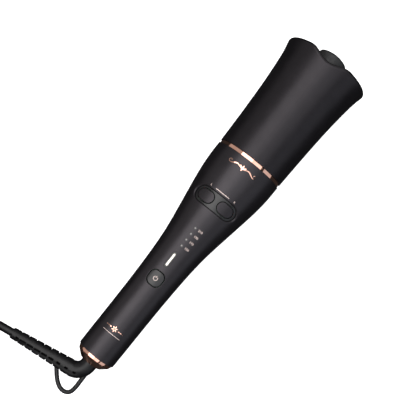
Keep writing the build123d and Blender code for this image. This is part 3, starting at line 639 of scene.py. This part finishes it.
def neck_rings(name, start, heading, sizes, body):
    """The rings of a flexible neck, from a start in millimetres along a heading."""
    tree, names = neck_ring_tree(finishes["cord_rubber"], sizes)
    holder = holder_of(name, bpy.data.meshes.new(name))
    nodes_modifier = holder.modifiers.new("rings", "NODES")
    nodes_modifier.node_group = tree
    for label, value in sizes.items():
        nodes_modifier[names[label]] = value
    mesh = evaluated(holder)
    turn = Vector((0, 0, 1)).rotation_difference(heading).to_matrix().to_4x4()
    mesh.transform(Matrix.Translation(start * MM) @ turn)
    return piece_from(name, closed(mesh), "cord_rubber", body)


plug_rings = neck_rings("plug_neck_rings", plug_neck, plug_heading, plug_ring_sizes, "cord_swivel")

# ---- rose-gold ring between the handle and the bell ----
ring_start = 201.05
ring_end = 204.25
ring_edge = 30.35
ring_crown = 30.42
ring_bore = 28.6
ring_bevel = 0.25
crown_fall = 0.02
crown_inset = 1.0
ring_steps = 240
ring_profile = [
    (ring_start, ring_bore),
    (ring_end, ring_bore),
    (ring_end, ring_edge - ring_bevel),
    (ring_end - ring_bevel, ring_edge),
    (ring_end - crown_inset, ring_crown - crown_fall),
    ((ring_start + ring_end) / 2, ring_crown),
    (ring_start + crown_inset, ring_crown - crown_fall),
    (ring_start + ring_bevel, ring_edge),
    (ring_start, ring_edge - ring_bevel),
]
ring_mesh = lathe("bright_ring", ring_profile, ring_steps)
bright_ring = piece_from("bright_ring", ring_mesh, "rose_gold", "housing")
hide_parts("trim_ring")

# ---- parting lines where the two handle shells meet ----
seam_width = 0.28
seam_proud = 0.03
seam_depth = 0.2
seam_span = (1.0, 200.5)
seam_steps = 60


def seam_strip(side):
    """A fine dark line along the shells' meeting edge on one side."""
    mesh = bpy.data.meshes.new("seam")
    places = []
    for step in range(seam_steps + 1):
        station = seam_span[0] + (seam_span[1] - seam_span[0]) * step / seam_steps
        reach = skin_radius(station)
        for depth in (seam_proud, -seam_depth):
            for height in (seam_width / 2, -seam_width / 2):
                places.append(at(station, side * (reach + depth), height))
    order = (0, 1, 3, 2)
    faces = [order, tuple(4 * seam_steps + corner for corner in reversed(order))]
    for step in range(seam_steps):
        near = 4 * step
        far = near + 4
        for here, there in zip(order, order[1:] + order[:1]):
            faces.append((near + here, near + there, far + there, far + here))
    mesh.from_pydata(places, [], faces)
    return closed(mesh)


for side, seam_name in ((1, "left_parting_line"), (-1, "right_parting_line")):
    piece_from(seam_name, seam_strip(side), "satin_black", "housing")

# ---- printed and inlaid marks on the handle's front ----
print_thickness = 0.12
print_proud = 0.045
heat_stations = (113.9, 120.1, 126.1, 131.9)
heat_numbers = ("150", "170", "190", "210")
number_height = 1.9
number_left = -5.2
side_letters = (("left_letter", "L", 11.7), ("right_letter", "R", -11.9))
letter_height = 1.7
letter_station = 167.5
bar_station = 167.2
bar_reach = 6.7
bar_width = 0.42
bar_steps = 12
rule_station = 22.6
rule_reach = 8.4
rule_width = 0.3
rule_steps = 16
flourish_station = 192.6
motif_station = 27.4
symbol_station = 80.0
symbol_proud = 0.13


def mark(name, flat, station, left, body="housing", proud=print_proud, paint=None):
    """A thin mark on the skin, with its middle at a station and a side."""
    mesh = draped(flat, station, left, print_thickness, proud)
    return piece_from(name, mesh, "rose_gold", body, paint or printed)


def straight_rule(reach, width, steps):
    """A straight flat strip to both sides of the middle, in short lengths that follow the skin."""
    points = [(-reach + 2 * reach * step / steps, 0.0) for step in range(steps + 1)]
    return ribbon(points, [width] * (steps + 1))


for station, number in zip(heat_stations, heat_numbers):
    mark(f"heat_number_{number}", lettering(number, number_height), station, number_left)

for name, letter, left in side_letters:
    mark(name, lettering(letter, letter_height), letter_station, left)

mark("direction_bar", straight_rule(bar_reach, bar_width, bar_steps), bar_station, 0.0)

scroll_start = 2.4
scroll_span = 9.4
scroll_steps = 30
wave_height = 1.1
wave_halves = 1.5
wave_width = (0.36, 0.62)
curl_size = 1.6
curl_closing = 0.55
curl_halves = 1.6
curl_shift = 0.05
curl_steps = 20
curl_width = (0.42, 0.14)


def scroll(side):
    """One half of the flourish: a wave that ends in a small curl."""
    points = []
    widths = []
    for step in range(scroll_steps + 1):
        share = step / scroll_steps
        wave = wave_height * sin(wave_halves * pi * share)
        points.append((side * (scroll_start + scroll_span * share), wave))
        widths.append(wave_width[0] + wave_width[1] * sin(pi * share))
    x0, y0 = points[-1]
    for step in range(1, curl_steps + 1):
        share = step / curl_steps
        angle = -pi / 2 + curl_halves * pi * share
        size = curl_size * (1 - curl_closing * share)
        x = x0 + side * (size * cos(angle) + curl_shift)
        points.append((x, y0 + curl_size + size * sin(angle)))
        widths.append(curl_width[0] - curl_width[1] * share)
    return ribbon(points, widths)


leaf_steps = 10
leaf_tip = 0.06


def leaf(x, y, length, width, angle):
    """A pointed leaf as a flat strip."""
    points = []
    widths = []
    for step in range(leaf_steps + 1):
        share = step / leaf_steps
        reach = length * (share - 0.5)
        points.append((x + reach * cos(angle), y + reach * sin(angle)))
        widths.append(max(leaf_tip, width * sin(pi * share)))
    return ribbon(points, widths)


upper_leaves = [
    leaf(0, 0.3, 5.4, 1.8, pi / 2),
    leaf(1.8, 0.6, 4.0, 1.3, pi / 4),
    leaf(-1.8, 0.6, 4.0, 1.3, 3 * pi / 4),
]
flourish = gathered([scroll(1), scroll(-1), *upper_leaves])
mark("upper_flourish", flourish, flourish_station, 0.0, paint=finishes["rose_gold"])

petals = 6
petal_place = 1.6
petal_length = 2.4
leaf_width = 0.95
side_leaves = 3
side_leaf_place = 4.2
side_leaf_pitch = 1.75
side_leaf_length = 2.0

lower_leaves = []
for turn in range(petals):
    angle = turn * pi / 3 + pi / 6
    x, y = petal_place * cos(angle), petal_place * sin(angle)
    lower_leaves.append(leaf(x, y, petal_length, leaf_width, angle))
for side in (1, -1):
    for step in range(side_leaves):
        x = side * (side_leaf_place + side_leaf_pitch * step)
        length = side_leaf_length - 0.3 * step
        lower_leaves.append(leaf(x, 0.0, length, leaf_width - 0.15 * step, 0.0))
mark("lower_motif", gathered(lower_leaves), motif_station, 0.0, paint=finishes["rose_gold"])

mark("lower_rule", straight_rule(rule_reach, rule_width, rule_steps), rule_station, 0.0)

symbol_line = 0.34
symbol_radius = 1.75
symbol_opening = radians(42)
symbol_steps = 28
stroke_points = [(0.0, 0.35), (0.0, 1.3), (0.0, 2.3)]


def power_symbol():
    """The usual sign for on and off: an open ring and a stroke."""
    points = []
    for step in range(symbol_steps + 1):
        turned = (2 * pi - 2 * symbol_opening) * step / symbol_steps
        angle = pi / 2 + symbol_opening + turned
        points.append((symbol_radius * cos(angle), symbol_radius * sin(angle)))
    ring = ribbon(points, [symbol_line] * len(points))
    stroke = ribbon(stroke_points, [symbol_line] * len(stroke_points))
    return gathered([ring, stroke])


mark("power_symbol", power_symbol(), symbol_station, 0.0, "power_button", symbol_proud)

# ---- studio: white floor, soft panels round the curler's axis ----
curler_middle = at(150.0, 0, 0)
panel_length = 1.7
end_distance = 1.3
end_rise = 0.35
end_length = 1.0
end_width = 0.7
end_radiance = 1.1
end_colour = (1.0, 0.99, 0.98)


def lamp_panel(name, place, outward, level, length, width, radiance, colour):
    """A soft rectangular lamp that faces back along outward, with its length along level."""
    lamp = bpy.data.lights.new(name, "AREA")
    lamp.shape = "RECTANGLE"
    lamp.size = length
    lamp.size_y = width
    lamp.energy = radiance * pi * length * width
    lamp.color = colour
    made = bpy.data.objects.new(name, lamp)
    made.matrix_world = Matrix((level, outward.cross(level), outward)).transposed().to_4x4()
    made.location = place
    bpy.context.scene.collection.objects.link(made)


def panel(name, start, end, distance, radiance, colour):
    """A soft panel over a span of degrees round the axis, from up towards the right-hand side."""
    middle = radians((start + end) / 2)
    width = 2 * distance * tan(radians((end - start) / 2))
    outward = upward * cos(middle) - sideways * sin(middle)
    place = curler_middle + outward * distance
    lamp_panel(name, place, outward, along, panel_length, width, radiance, colour)


panel("top_panel", -35, 6, 1.05, 3.1, (1.0, 0.985, 0.98))
panel("side_top_panel", 6, 42, 1.05, 1.5, (0.96, 0.975, 1.0))
panel("left_panel", -90, -36, 1.0, 0.45, (1.0, 0.97, 0.95))
panel("right_panel", 52, 88, 1.0, 0.75, (0.88, 0.93, 1.0))

for end_name, end_heading in (("front_panel", along), ("cord_end_panel", -along)):
    outward = (end_heading + Vector((0, 0, end_rise))).normalized()
    place = curler_middle + outward * end_distance
    lamp_panel(
        end_name, place, outward, sideways, end_length, end_width, end_radiance, end_colour
    )

floor_reach = 1.35
floor_height = -0.0002
floor_glow = 0.85
floor_corners = ((-1, -1), (1, -1), (1, 1), (-1, 1))
floor_mesh = bpy.data.meshes.new("floor")
floor_places = [(x * floor_reach, y * floor_reach, floor_height) for x, y in floor_corners]
floor_mesh.from_pydata(floor_places, [], [(0, 1, 2, 3)])
floor_paint = finish("white_floor", (0.9, 0.9, 0.9), 0.9)
floor_shader = floor_paint.node_tree.nodes["Principled BSDF"]
floor_shader.inputs["Emission Color"].default_value = (1, 1, 1, 1)
floor_shader.inputs["Emission Strength"].default_value = floor_glow
floor_mesh.materials.append(floor_paint)
floor = holder_of("floor", floor_mesh)
floor.visible_glossy = False
floor.visible_diffuse = False
floor.visible_shadow = False

dim_light = 0.03
seen_white = 1.6
world = bpy.data.worlds.new("studio")
bpy.context.scene.world = world
world.use_nodes = True
backdrop = world.node_tree.nodes["Background"]
seen = world.node_tree.nodes.new("ShaderNodeLightPath")
strength = world.node_tree.nodes.new("ShaderNodeMapRange")
strength.inputs["To Min"].default_value = dim_light
strength.inputs["To Max"].default_value = seen_white
world.node_tree.links.new(seen.outputs["Is Camera Ray"], strength.inputs["Value"])
world.node_tree.links.new(strength.outputs["Result"], backdrop.inputs["Strength"])
backdrop.inputs["Color"].default_value = (1, 1, 1, 1)

bpy.context.scene.view_settings.view_transform = "Standard"
bpy.context.scene.view_settings.look = "None"
